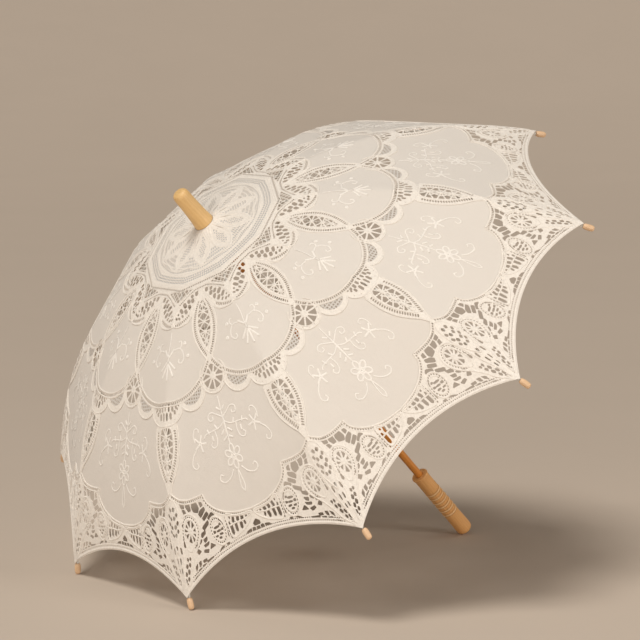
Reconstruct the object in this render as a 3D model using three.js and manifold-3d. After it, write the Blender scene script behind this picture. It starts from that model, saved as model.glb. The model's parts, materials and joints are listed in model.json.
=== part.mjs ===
// Lace parasol: wooden stick, turned handle and ferrule, ten-rib folding frame, lace canopy.
// Millimetres. The parasol is built about its own shaft axis (z towards the ferrule,
// z = 0 in the plane of the ten fabric points), then laid down on two rib beads and the handle.
import * as THREE from 'three';
import Manifold from 'manifold-3d';

const wasm = await Manifold();
wasm.setup();

// ---- driving dimensions ------------------------------------------------------------
const RIBS = 10;
const SECTOR = (2 * Math.PI) / RIBS;
const R = 400;                 // shaft axis to fabric point, in plan
const DOME_A = 0.4806;         // canopy profile along a rib: z = R (A + B - A r^2 - B r^4)
const DOME_B = 0.0732;
const HEM_MID = 0.897;         // plan radius of the hem half-way between two ribs, over R
const HEM_BEND = 0.566;        // how fast the scalloped hem swings out towards the points
const CLOTH = 1.2;             // canopy thickness, measured along the shaft
const SEAM_GAP = 0.15;         // half the gap between neighbouring canopy sectors
const CROWN_HOLE = 6;          // hole in the canopy for the stick
const GAP = 0.3;               // running gap between touching pieces

const SHAFT_R = 4.9;
const SHAFT_TOP = 255;
const SHAFT_BOTTOM = -304;
const HANDLE_TOP = -261.2;
const HANDLE_END = -376.4;
const FERRULE_BASE = 225.6;
const FERRULE_TOP = 280;

const RIB_PIVOT_R = 9;         // radius of the wire ring that the ribs hang on
const RIB_PIVOT_Z = 216.8;
const RIB_W = 2;               // rib width
const RIB_TOP = 2.3;           // rib's outer edge below the canopy surface
const RIB_DEPTH = 2.8;
const BEAD_L = 14.2;
const BEAD_R = 3.9;
const HANDLE_R = 10.6;         // handle's plain stretches
const RING_R = 11.1;           // raised rings turned on the handle
const GROOVE_R = 9.8;          // grooves beside each ring
const RINGS = 6;
const RING_PITCH = 8.2;
const FIRST_RING = 31;         // from the handle's top to its first groove

const JOINT_R = 185;           // where the stretcher meets the rib, in plan
const JOINT_DROP = 5.6;        // stretcher rivet below the canopy surface
const STRETCHER_L = 200;
const STRETCHER_Y = 2.0;       // stretcher's middle plane beside the rib's
const STRETCHER_W = 1.2;
const HUB_R = 8.7;             // radius of the wire ring that the stretchers hang on
const RUNNER_TUBE = 38;        // tube below the runner's slotted head
const FOLD_DEG = 58;           // a rib's swing from open to closed

const REST = { lean: 43.701 }; // degrees the shaft leans from upright when it lies on the floor

// ---- derived -------------------------------------------------------------------------
const domeZ = (x) => R * (DOME_A + DOME_B - DOME_A * (x / R) ** 2 - DOME_B * (x / R) ** 4);
const domeSlope = (x) => -2 * DOME_A * (x / R) - 4 * DOME_B * (x / R) ** 3;

// A point on the rib line at plan radius x, moved `drop` mm towards the inside of the dome.
function under(x, drop) {
  const m = domeSlope(x);
  const k = 1 / Math.hypot(1, m);
  return [x + m * k * drop, domeZ(x) - k * drop];
}

// Canopy height over plan point (x, y) of a sector whose rib lies along +x:
// straight chords from rib to rib, with a crease along the rib.
function canopyZ(x, y) {
  const rho = Math.hypot(x, y);
  const off = Math.abs(Math.atan2(y, x));
  return domeZ((rho * Math.cos(SECTOR / 2 - off)) / Math.cos(SECTOR / 2));
}

// Plan radius of the hem at an angle from the rib.
function hemRadius(off) {
  const psi = SECTOR / 2 - Math.abs(off);
  const a = HEM_BEND * Math.sin(psi) ** 2;
  const b = Math.cos(psi);
  return (R * 2 * HEM_MID) / (b + Math.sqrt(b * b - 4 * a * HEM_MID));
}

const JOINT = under(JOINT_R, JOINT_DROP);
const HUB_X = Math.sqrt(HUB_R ** 2 - STRETCHER_Y ** 2);
const HUB_Z = JOINT[1] - Math.sqrt(STRETCHER_L ** 2 - (JOINT[0] - HUB_X) ** 2);

// Rivet position and runner position when the ribs are folded.
function foldedHubZ() {
  const dx = JOINT[0] - RIB_PIVOT_R;
  const dz = JOINT[1] - RIB_PIVOT_Z;
  const t = (-FOLD_DEG * Math.PI) / 180;
  const x = RIB_PIVOT_R + dx * Math.cos(t) - dz * Math.sin(t);
  const z = RIB_PIVOT_Z + dx * Math.sin(t) + dz * Math.cos(t);
  return z - Math.sqrt(STRETCHER_L ** 2 - (x - HUB_X) ** 2);
}
const HUB_Z_FOLDED = foldedHubZ();

// ---- solid helpers ---------------------------------------------------------------------
function toManifold(geometry) {
  const g = geometry.index ? geometry.toNonIndexed() : geometry;
  const p = g.attributes.position.array;
  const map = new Map();
  const verts = [];
  const tris = [];
  for (let i = 0; i < p.length; i += 3) {
    const q = [p[i], p[i + 1], p[i + 2]].map((v) => Math.round(v * 1e5) / 1e5);
    const key = q.join(',');
    if (!map.has(key)) {
      map.set(key, verts.length / 3);
      verts.push(...q);
    }
    tris.push(map.get(key));
  }
  const keep = [];
  for (let i = 0; i < tris.length; i += 3) {
    const [a, b, c] = [tris[i], tris[i + 1], tris[i + 2]];
    if (a !== b && b !== c && a !== c) keep.push(a, b, c);
  }
  const mesh = new wasm.Mesh({
    numProp: 3, vertProperties: new Float32Array(verts), triVerts: new Uint32Array(keep),
  });
  return new wasm.Manifold(mesh);
}

function fromManifold(m) {
  const mesh = m.getMesh();
  const g = new THREE.BufferGeometry();
  const pos = [];
  for (const t of mesh.triVerts) {
    pos.push(mesh.vertProperties[t * mesh.numProp], mesh.vertProperties[t * mesh.numProp + 1],
      mesh.vertProperties[t * mesh.numProp + 2]);
  }
  g.setAttribute('position', new THREE.Float32BufferAttribute(pos, 3));
  g.computeVertexNormals();
  return g;
}

const cut = (a, ...others) => others.reduce((m, o) => m.subtract(toManifold(o)), toManifold(a));

// A turned piece: [radius, z] points from the axis, round the outside, and back to the axis.
function turned(points, segments = 28) {
  const g = new THREE.LatheGeometry(points.map(([r, z]) => new THREE.Vector2(r, z)), segments);
  g.rotateX(Math.PI / 2);
  return g;
}

// A rod of radius r from z0 to z1.
const rod = (r, z0, z1, segments = 28) => turned([[0, z0], [r, z0], [r, z1], [0, z1]], segments);

function block(x0, x1, y0, y1, z0, z1) {
  const g = new THREE.BoxGeometry(x1 - x0, y1 - y0, z1 - z0);
  g.translate((x0 + x1) / 2, (y0 + y1) / 2, (z0 + z1) / 2);
  return g;
}

function wireRing(radius, wire, z, around = 30) {
  const g = new THREE.TorusGeometry(radius, wire, 6, around);
  g.translate(0, 0, z);
  return g;
}

// A flat profile drawn in (plan radius, z), given a thickness across the sector.
function plate(shape, y0, y1, curveSegments = 6) {
  const g = new THREE.ExtrudeGeometry(shape, { depth: y1 - y0, bevelEnabled: false, curveSegments });
  g.rotateX(Math.PI / 2);
  g.translate(0, y1, 0);
  return g;
}

// ---- stick, handle, ferrule ---------------------------------------------------------------
function shaftBody() {
  const stick = turned([
    [0, SHAFT_BOTTOM], [SHAFT_R - 0.6, SHAFT_BOTTOM], [SHAFT_R, SHAFT_BOTTOM + 0.6],
    [SHAFT_R, SHAFT_TOP - 0.6], [SHAFT_R - 0.6, SHAFT_TOP], [0, SHAFT_TOP],
  ], 32);
  const pinHole = rod(1.05, -10, 10, 12);
  pinHole.rotateX(Math.PI / 2);
  pinHole.translate(0, 0, STOP_Z);
  const slotTop = block(-8, -0.9, -0.9, 0.9, TOP_CATCH_Z - 28.6, TOP_CATCH_Z + 0.3);
  const slotLow = block(-8, -0.9, -0.9, 0.9, LOW_CATCH_Z - 0.3, LOW_CATCH_Z + 28.6);
  return fromManifold(cut(stick, pinHole, slotTop, slotLow));
}

const STOP_Z = HUB_Z + 4.2;
const TOP_CATCH_Z = HUB_Z - 3 - RUNNER_TUBE - GAP;
const LOW_CATCH_Z = HUB_Z_FOLDED - 3 - RUNNER_TUBE + 6.3;

// A leaf of spring steel set in a slot of the stick. Its nose stands 2.3 mm proud.
function catchLeaf(z, up) {
  const s = up ? 1 : -1;
  const pts = [[-1.25, -28.2], [-4.5, -28.2], [-5.0, -12], [-7.2, -1.4], [-7.2, 0], [-3.2, 0], [-1.25, -9]];
  const shape = new THREE.Shape(pts.map(([x, dz]) => new THREE.Vector2(x, z + s * dz)));
  return plate(shape, -0.6, 0.6);
}

const stopPin = () => {
  const g = rod(0.75, -7, 7, 12);
  g.rotateX(Math.PI / 2);
  g.translate(0, 0, STOP_Z);
  return g;
};

function handleBody() {
  const z = (d) => HANDLE_TOP - d;                 // d: distance down from the handle's top
  const out = [];
  out.push([5.2, z(0)], [10, z(0)], [11.2, z(0.4)], [11.6, z(1.2)], [11.6, z(2.2)], [HANDLE_R, z(3.2)]);
  for (let i = 0; i < RINGS; i += 1) {
    const d = FIRST_RING + i * RING_PITCH;
    out.push([HANDLE_R, z(d - 0.8)], [GROOVE_R, z(d)], [RING_R, z(d + 1)]);
    out.push([RING_R, z(d + 2.6)], [GROOVE_R, z(d + 3.6)], [HANDLE_R, z(d + 4.4)]);
  }
  const end = HANDLE_END;
  out.push([HANDLE_R, end + 30], [11, end + 12], [10.8, end + 5], [10, end + 2.4], [8.6, end + 0.8]);
  out.push([6.5, end]);
  out.push([0, end], [0, SHAFT_BOTTOM - GAP], [5.2, SHAFT_BOTTOM - GAP], [5.2, z(0)]);
  return turned(out.reverse(), 24);
}

function ferruleBody() {
  const b = FERRULE_BASE;
  const t = FERRULE_TOP;
  return turned([
    [5.2, b], [12.2, b], [12.9, b + 0.8], [12.6, b + 4], [11.7, b + 12], [11.1, b + 22], [10.6, b + 36],
    [10.4, t - 8], [10.1, t - 4.8], [9, t - 2.2], [7.2, t - 0.6], [5, t], [0, t], [0, SHAFT_TOP + GAP], [5.2, SHAFT_TOP + GAP], [5.2, b],
  ], 28);
}

// ---- crown notch and runner ------------------------------------------------------------------
// Slots for RIBS thin blades, whose planes stand off the radial plane by y.
function slots(inner, outer, y, width, z0, z1) {
  return Array.from({ length: RIBS }, (_, k) => {
    const g = block(inner, outer, y - width / 2, y + width / 2, z0, z1);
    g.rotateZ(ribAngle(k + 1));
    return g;
  });
}

function notchBody() {
  const body = turned([
    [5.2, 208.6], [10.2, 208.6], [11.6, 210.2], [11.8, 218.2], [10.8, 219.4], [5.2, 219.4], [5.2, 208.6],
  ], 24);
  const tunnel = wireRing(RIB_PIVOT_R, 0.9, RIB_PIVOT_Z);
  return fromManifold(cut(body, tunnel, ...slots(6.3, 20, 0, RIB_W + 2 * GAP, 200, 230)));
}

function runnerBody() {
  const z = HUB_Z;
  const low = z - 3 - RUNNER_TUBE;
  const body = turned([
    [5.2, low], [6.6, low], [7.2, low + 1], [7.2, low + 3], [6.2, low + 4], [6.2, z - 7], [8.6, z - 4.4],
    [11, z - 3], [11.4, z - 2.4], [11.4, z + 2.4], [10.8, z + 3], [5.2, z + 3], [5.2, low],
  ], 24);
  const tunnel = wireRing(HUB_R, 0.85, z);
  const window = block(-20, -4, -1.1, 1.1, low + 6, low + 20);
  const head = slots(6.45, 20, STRETCHER_Y, STRETCHER_W + 2 * GAP, z - 12, z + 8);
  return fromManifold(cut(body, tunnel, window, ...head));
}

// ---- ribs, beads, stretchers ---------------------------------------------------------------------
// Rib k stands at this angle about the shaft. Ribs 5 and 6 straddle the side that rests on the floor.
function ribAngle(k) {
  return -SECTOR * (k - (RIBS + 1) / 2);
}

const TIP = under(R, RIB_TOP + RIB_DEPTH / 2);
const TIP_DIR = (() => {
  const m = domeSlope(R);
  const k = 1 / Math.hypot(1, m);
  return [k, m * k];
})();

function ribBody() {
  const shape = new THREE.Shape();
  const steps = 14;
  const x0 = 13;
  const lower = [];
  const upper = [];
  for (let i = 0; i <= steps; i += 1) {
    const x = x0 + ((R - x0) * i) / steps;
    lower.push(under(x, RIB_TOP + RIB_DEPTH));
    upper.push(under(x, RIB_TOP));
  }
  const [ex, ez] = TIP;
  const [tx, tz] = TIP_DIR;
  const at = (along, side) => [ex + tx * along - tz * side, ez + tz * along + tx * side];
  const end = [at(0.5, -0.7), at(8, -0.7), at(8, 0.7), at(0.5, 0.7)];
  const eye = [];
  for (let i = 0; i <= 8; i += 1) {
    const t = Math.PI / 2 + 0.25 + (i / 8) * (Math.PI - 0.4);
    eye.push([RIB_PIVOT_R + 2.2 * Math.cos(t), RIB_PIVOT_Z + 2.2 * Math.sin(t)]);
  }
  const outline = [...eye, ...lower, ...end, ...upper.reverse()];
  shape.setFromPoints(outline.map(([x, z]) => new THREE.Vector2(x, z)));
  const hole = new THREE.Path();
  hole.absarc(RIB_PIVOT_R, RIB_PIVOT_Z, 0.95, 0, 2 * Math.PI, true);
  shape.holes.push(hole);
  return plate(shape, -RIB_W / 2, RIB_W / 2, 8);
}

function beadBody() {
  const g = turned([
    [1.55, 0], [2.4, 0], [3.1, 1], [3.7, 2.8], [BEAD_R, 5], [BEAD_R, 10], [3.5, 12.4], [2.6, 13.7],
    [1.2, BEAD_L], [0, BEAD_L], [0, 9], [1.55, 9], [1.55, 0],
  ], 12);
  g.rotateY(Math.PI / 2 + Math.atan2(-TIP_DIR[1], TIP_DIR[0]));
  g.translate(TIP[0] + TIP_DIR[0] * 0.8, 0, TIP[1] + TIP_DIR[1] * 0.8);
  return g;
}

function stretcherBody() {
  const a = [HUB_X, HUB_Z];
  const b = JOINT;
  const dir = [(b[0] - a[0]) / STRETCHER_L, (b[1] - a[1]) / STRETCHER_L];
  const nor = [-dir[1], dir[0]];
  const pt = (o, along, side) => [
    o[0] + dir[0] * along + nor[0] * side, o[1] + dir[1] * along + nor[1] * side];
  const cap = (o, r, from) => Array.from({ length: 9 }, (_, i) => {
    const t = from + (i / 8) * 1.5 * Math.PI;
    return pt(o, r * Math.cos(t), r * Math.sin(t));
  });
  const outline = [
    ...cap(a, 2, Math.PI / 4), pt(a, 3.2, -1.2), pt(b, -3.6, -1.2), ...cap(b, 2.3, -0.75 * Math.PI),
    pt(b, -3.6, 1.2), pt(a, 3.2, 1.2),
  ];
  const shape = new THREE.Shape(outline.map(([x, z]) => new THREE.Vector2(x, z)));
  const eye = new THREE.Path();
  eye.absarc(a[0], a[1], 1.0, 0, 2 * Math.PI, true);
  shape.holes.push(eye);
  const blade = plate(shape, STRETCHER_Y - STRETCHER_W / 2, STRETCHER_Y + STRETCHER_W / 2, 8);
  const head = turned([[0, 0], [1.5, 0], [1.5, 1.1], [1.0, 1.5], [0, 1.6]], 10);
  head.rotateX(-Math.PI / 2);
  head.translate(b[0], STRETCHER_Y, b[1]);
  return fromManifold(toManifold(blade).add(toManifold(head)));
}

// ---- canopy ------------------------------------------------------------------------------------------
// One sector of the lace sheet, from mid-gore to mid-gore with its rib down the middle.
function canopySector() {
  const rows = 10;
  const cols = 6;
  const grid = (drop) => {
    const out = [];
    for (let i = 0; i <= rows; i += 1) {
      for (let j = 0; j <= cols; j += 1) {
        const t = (2 * j) / cols - 1;
        const hem = hemRadius((t * SECTOR) / 2);
        const rho = CROWN_HOLE + ((hem - CROWN_HOLE) * i) / rows;
        const off = t * (SECTOR / 2 - Math.asin(SEAM_GAP / rho));
        const x = rho * Math.cos(off);
        const y = rho * Math.sin(off);
        out.push([x, y, canopyZ(x, y) - drop]);
      }
    }
    return out;
  };
  const pts = [...grid(0), ...grid(CLOTH)];
  const half = (rows + 1) * (cols + 1);
  const id = (i, j, low) => i * (cols + 1) + j + (low ? half : 0);
  const tris = [];
  const quad = (a, b, c, d) => tris.push(a, b, c, a, c, d);
  for (let i = 0; i < rows; i += 1) {
    for (let j = 0; j < cols; j += 1) {
      const [a, b, c, d] = [id(i, j), id(i + 1, j), id(i + 1, j + 1), id(i, j + 1)];
      if (j < cols / 2) quad(a, b, c, d);
      else quad(b, c, d, a);
      const [e, f, g, h] = [id(i, j, 1), id(i + 1, j, 1), id(i + 1, j + 1, 1), id(i, j + 1, 1)];
      if (j < cols / 2) tris.push(e, g, f, e, h, g);
      else tris.push(f, h, g, f, e, h);
    }
    quad(id(i, 0), id(i, 0, 1), id(i + 1, 0, 1), id(i + 1, 0));
    quad(id(i, cols), id(i + 1, cols), id(i + 1, cols, 1), id(i, cols, 1));
  }
  for (let j = 0; j < cols; j += 1) {
    quad(id(rows, j), id(rows, j, 1), id(rows, j + 1, 1), id(rows, j + 1));
    quad(id(0, j), id(0, j + 1), id(0, j + 1, 1), id(0, j, 1));
  }
  const g = new THREE.BufferGeometry();
  g.setAttribute('position', new THREE.Float32BufferAttribute(pts.flat(), 3));
  g.setIndex(tris);
  const flat = g.toNonIndexed();
  flat.computeVertexNormals();
  return flat;
}

// ---- assembly --------------------------------------------------------------------------------------------
const FINISH = {
  shaft: [0xb5622a, 0.42, 0], handle: [0xc2925a, 0.5, 0], ferrule: [0xd8ab63, 0.45, 0],
  bead: [0xdcb48a, 0.5, 0], lace: [0xefe6da, 0.9, 0], rib: [0xe9e6df, 0.45, 0.2],
  steel: [0xb9b9b6, 0.35, 0.9], hub: [0xe4dccb, 0.5, 0],
};

const parasol = new THREE.Group();
function piece(name, geometry, finish, angle = 0) {
  const [color, roughness, metalness] = FINISH[finish];
  const material = new THREE.MeshStandardMaterial({ color, roughness, metalness });
  const mesh = new THREE.Mesh(geometry, material);
  mesh.name = name;
  mesh.rotation.z = angle;
  parasol.add(mesh);
}

piece('shaft', shaftBody(), 'shaft');
piece('handle', handleBody(), 'handle');
piece('ferrule', ferruleBody(), 'ferrule');
piece('crown_notch', notchBody(), 'hub');
piece('crown_ring', wireRing(RIB_PIVOT_R, 0.55, RIB_PIVOT_Z), 'steel');
piece('runner', runnerBody(), 'hub');
piece('runner_ring', wireRing(HUB_R, 0.5, HUB_Z), 'steel');
piece('stop_pin', stopPin(), 'steel');
piece('top_catch', catchLeaf(TOP_CATCH_Z, true), 'steel');
piece('bottom_catch', catchLeaf(LOW_CATCH_Z, false), 'steel');
for (let k = 1; k <= RIBS; k += 1) {
  const nn = String(k).padStart(2, '0');
  piece(`rib_${nn}`, ribBody(), 'rib', ribAngle(k));
  piece(`bead_${nn}`, beadBody(), 'bead', ribAngle(k));
  piece(`stretcher_${nn}`, stretcherBody(), 'rib', ribAngle(k));
  piece(`canopy_${nn}`, canopySector(), 'lace', ribAngle(k));
}

// Laid on the floor: the shaft leans towards +x, and the box's bottom centre is the origin.
parasol.rotation.y = (REST.lean * Math.PI) / 180;
const model = new THREE.Group();
model.name = 'lace_parasol';
model.add(parasol);
model.updateMatrixWorld(true);
const box = new THREE.Box3().setFromObject(model, true);
parasol.position.set(-(box.min.x + box.max.x) / 2, -(box.min.y + box.max.y) / 2, -box.min.z);
model.updateMatrixWorld(true);

export default model;
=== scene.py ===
"""A lace parasol, open and lying on two rib ends and its handle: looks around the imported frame."""
import json
import math

import bmesh
import bpy
import numpy as np
from mathutils import Euler, Matrix, Vector
from mathutils.geometry import delaunay_2d_cdt

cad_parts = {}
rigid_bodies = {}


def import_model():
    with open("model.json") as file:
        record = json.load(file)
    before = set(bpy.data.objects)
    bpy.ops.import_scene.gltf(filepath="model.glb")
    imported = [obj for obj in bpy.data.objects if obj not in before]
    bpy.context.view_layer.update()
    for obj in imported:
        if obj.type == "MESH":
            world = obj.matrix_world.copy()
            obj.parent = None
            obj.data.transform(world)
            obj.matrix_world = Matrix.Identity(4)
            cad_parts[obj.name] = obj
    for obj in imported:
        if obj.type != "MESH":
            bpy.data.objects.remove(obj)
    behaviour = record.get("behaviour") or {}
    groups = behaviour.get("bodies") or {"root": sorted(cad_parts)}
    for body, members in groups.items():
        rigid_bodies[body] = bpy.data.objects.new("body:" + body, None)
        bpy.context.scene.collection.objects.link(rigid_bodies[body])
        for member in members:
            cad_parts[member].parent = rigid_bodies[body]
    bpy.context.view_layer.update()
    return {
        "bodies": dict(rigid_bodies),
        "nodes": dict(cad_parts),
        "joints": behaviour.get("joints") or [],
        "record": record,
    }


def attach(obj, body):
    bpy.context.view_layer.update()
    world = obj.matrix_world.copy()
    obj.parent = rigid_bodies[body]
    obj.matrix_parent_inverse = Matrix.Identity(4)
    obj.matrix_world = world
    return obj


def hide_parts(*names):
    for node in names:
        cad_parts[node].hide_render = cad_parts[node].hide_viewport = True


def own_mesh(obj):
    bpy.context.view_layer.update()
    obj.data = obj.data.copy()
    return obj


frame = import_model()

# ---- the parasol's own frame, in the row frame ---------------------------------------
R = 0.400                                       # plan radius at a rib tip, metres
DOME_A, DOME_B = 0.4806, 0.0732                 # canopy profile
HEM_MID = 0.897                                 # plan radius of the hem half-way between ribs, units of R
HEM_BEND = 0.566                                # how fast the hem swings out towards the ribs
LEAN = math.radians(43.701)                     # the stick's lean from upright, towards +X
ORIGIN = np.array([0.004580985, 0.0, 0.277483643])         # on the stick's axis, level with the rib tips
AXIS = np.array([math.sin(LEAN), 0.0, math.cos(LEAN)])     # along the stick, towards the ferrule
SIDE = np.array([math.cos(LEAN), 0.0, -math.sin(LEAN)])
ACROSS = np.array([0.0, 1.0, 0.0])
RIBS = 10
TAU = 2 * math.pi
HALF = math.pi / RIBS
C18, S18, T18 = math.cos(HALF), math.sin(HALF), math.tan(HALF)
HANDLE_TOP = -0.2612                            # along the stick, metres


def rib_angle(k):
    """Angle round the stick of rib k; ribs 5 and 6 are the two on the floor."""
    return -2 * HALF * (k - 5.5)


def to_row(p):
    """Points in the parasol's own frame, moved to where it lies."""
    p = np.asarray(p, float)
    return ORIGIN + p[..., :1] * SIDE + p[..., 1:2] * ACROSS + p[..., 2:3] * AXIS


# ---- camera ---------------------------------------------------------------------------
CAMERA_PLACE = (1.92017, 2.54053, 0.69573)      # metres
CAMERA_TURN = (83.058, 0.623, 142.630)          # degrees about X, Y and Z
SENSOR, LENS = 36.0, 143.05                     # millimetres

scene = bpy.context.scene
camera_data = bpy.data.cameras.new("camera")
camera_data.sensor_width = SENSOR
camera_data.lens = LENS
camera = bpy.data.objects.new("camera", camera_data)
scene.collection.objects.link(camera)
camera_turn = Euler([math.radians(a) for a in CAMERA_TURN])
camera.matrix_world = Matrix.LocRotScale(CAMERA_PLACE, camera_turn, None)
scene.camera = camera


# ---- materials ------------------------------------------------------------------------
class Nodes:
    """A material under construction."""

    def __init__(self, name):
        self.mat = bpy.data.materials.new(name)
        self.mat.use_nodes = True
        self.tree = self.mat.node_tree
        self.tree.nodes.clear()
        self.out = self.tree.nodes.new("ShaderNodeOutputMaterial")
        self.bsdf = self.tree.nodes.new("ShaderNodeBsdfPrincipled")
        self.link(self.bsdf.outputs[0], self.out.inputs[0])

    def link(self, a, b):
        self.tree.links.new(a, b)

    def add(self, kind, inputs=None, **props):
        n = self.tree.nodes.new("ShaderNode" + kind)
        for k, v in props.items():
            setattr(n, k, v)
        for k, v in (inputs or {}).items():
            if isinstance(v, bpy.types.NodeSocket):
                self.link(v, n.inputs[k])
            else:
                n.inputs[k].default_value = v
        return n

    def coords(self, name=None, scale=(1, 1, 1), turn=(0, 0, 0)):
        if name:
            src = self.add("Attribute", attribute_name=name).outputs["Vector"]
        else:
            src = self.add("TexCoord").outputs["Object"]
        m = self.add("Mapping", {"Vector": src})
        m.inputs["Scale"].default_value = scale
        m.inputs["Rotation"].default_value = turn
        return m.outputs[0]

    def noise(self, vec, scale, detail=3.0, rough=0.55, distort=0.0):
        return self.add("TexNoise", {"Vector": vec, "Scale": scale, "Detail": detail, "Roughness": rough,
                                     "Distortion": distort}).outputs["Fac"]

    def ramp(self, fac, stops):
        n = self.add("ValToRGB", {"Fac": fac})
        e = n.color_ramp.elements
        while len(e) > len(stops):
            e.remove(e[-1])
        while len(e) < len(stops):
            e.new(0.5)
        for el, (pos, col) in zip(e, stops):
            el.position = pos
            el.color = tuple(col) + (1,) if len(col) == 3 else col
        return n.outputs["Color"]

    def mix(self, fac, a, b, blend="MIX"):
        n = self.tree.nodes.new("ShaderNodeMix")
        n.data_type = "RGBA"
        n.blend_type = blend
        for k, v in ((0, fac), (6, a), (7, b)):
            if isinstance(v, bpy.types.NodeSocket):
                self.link(v, n.inputs[k])
            else:
                n.inputs[k].default_value = v if k == 0 or len(v) == 4 else tuple(v) + (1,)
        return n.outputs[2]

    def math(self, op, a, b=0.0):
        n = self.tree.nodes.new("ShaderNodeMath")
        n.operation = op
        for k, v in ((0, a), (1, b)):
            if isinstance(v, bpy.types.NodeSocket):
                self.link(v, n.inputs[k])
            else:
                n.inputs[k].default_value = v
        return n.outputs[0]

    def times(self, a, b):
        return self.math("MULTIPLY", a, b)

    def plus(self, a, b):
        return self.math("ADD", a, b)

    def bump(self, height, strength, distance, normal=None):
        n = self.add("Bump", {"Height": height, "Strength": strength, "Distance": distance})
        if normal is not None:
            self.link(normal, n.inputs["Normal"])
        return n.outputs["Normal"]

    def finish(self, color=None, rough=None, normal=None, **values):
        p = self.bsdf.inputs
        for key, v in (("Base Color", color), ("Roughness", rough), ("Normal", normal)):
            if isinstance(v, bpy.types.NodeSocket):
                self.link(v, p[key])
            elif v is not None:
                p[key].default_value = v if key == "Roughness" else tuple(v) + (1,)
        for k, v in values.items():
            p[k.replace("_", " ")].default_value = v
        return self.mat


PLAN = "plan"      # mesh attribute: plan coordinates about the rib, in metres


def tint(colour, *shares):
    """A colour times one share, or times a share for each channel."""
    return tuple(c * s for c, s in zip(colour, shares * (3 // len(shares))))


def weave_material(name, light, shade, pitch, depth, rough=0.9):
    """Plain woven cotton: over-and-under threads, slubs, faint tone drift."""
    m = Nodes(name)
    v = m.coords(PLAN)
    sep = m.add("SeparateXYZ", {"Vector": v})
    wob = m.noise(v, 60.0, 2.0)
    k = math.pi / pitch
    over, under = (m.math("SINE", m.times(m.plus(axis, m.times(wob, pitch * .6)),
                                          k)) for axis in sep.outputs[:2])
    cross = m.times(over, under)
    weave = m.plus(m.times(cross, 0.5), 0.5)
    slub = m.noise(m.coords(PLAN, (1, 9, 1)), 190.0, 2.0)
    slub2 = m.noise(m.coords(PLAN, (9, 1, 1)), 190.0, 2.0)
    drift = m.noise(v, 9.0, 4.0, 0.6)
    col = m.mix(weave, shade, light)
    col = m.mix(m.times(m.plus(slub, slub2), 0.25), col, tint(shade, 0.90))
    col = m.mix(m.times(drift, 0.22), col, tint(light, 0.93, 0.91, 0.87))
    h = m.plus(m.times(weave, 0.6), m.times(m.plus(slub, slub2), 0.35))
    fine = m.bump(h, 0.55, depth)
    wave = m.bump(m.noise(v, 30.0, 3.0), 0.5, 0.0022, fine)
    return m.finish(col, rough, wave, Sheen_Weight=0.12, Sheen_Roughness=0.5, Specular_IOR_Level=0.25)


def thread_material(name, light, shade, rough=0.86, scale=1.0):
    """Twisted or plaited cotton cord and tape."""
    m = Nodes(name)
    v = m.coords(PLAN)
    w = m.add("TexWave", {"Vector": m.coords(PLAN, (1, 1, 1), (0, 0, 0.7)), "Scale": 330.0 * scale,
                          "Distortion": 6.0, "Detail": 3.0, "Detail Scale": 2.0}, wave_type="BANDS",
              bands_direction="DIAGONAL")
    n = m.noise(v, 460.0 * scale, 3.0)
    drift = m.noise(v, 22.0, 4.0)
    col = m.mix(m.times(w.outputs["Fac"], 0.45), light, shade)
    col = m.mix(m.times(drift, 0.35), col, tint(light, 0.92, 0.89, 0.84))
    col = m.mix(m.times(m.math("POWER", n, 2.0), 0.9), col, tint(shade, 0.80))
    h = m.plus(m.times(w.outputs["Fac"], 0.3), m.times(n, 0.9))
    return m.finish(col, rough, m.bump(h, 0.6, 0.0006), Sheen_Weight=0.15, Sheen_Roughness=0.45,
                    Specular_IOR_Level=0.3)


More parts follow.
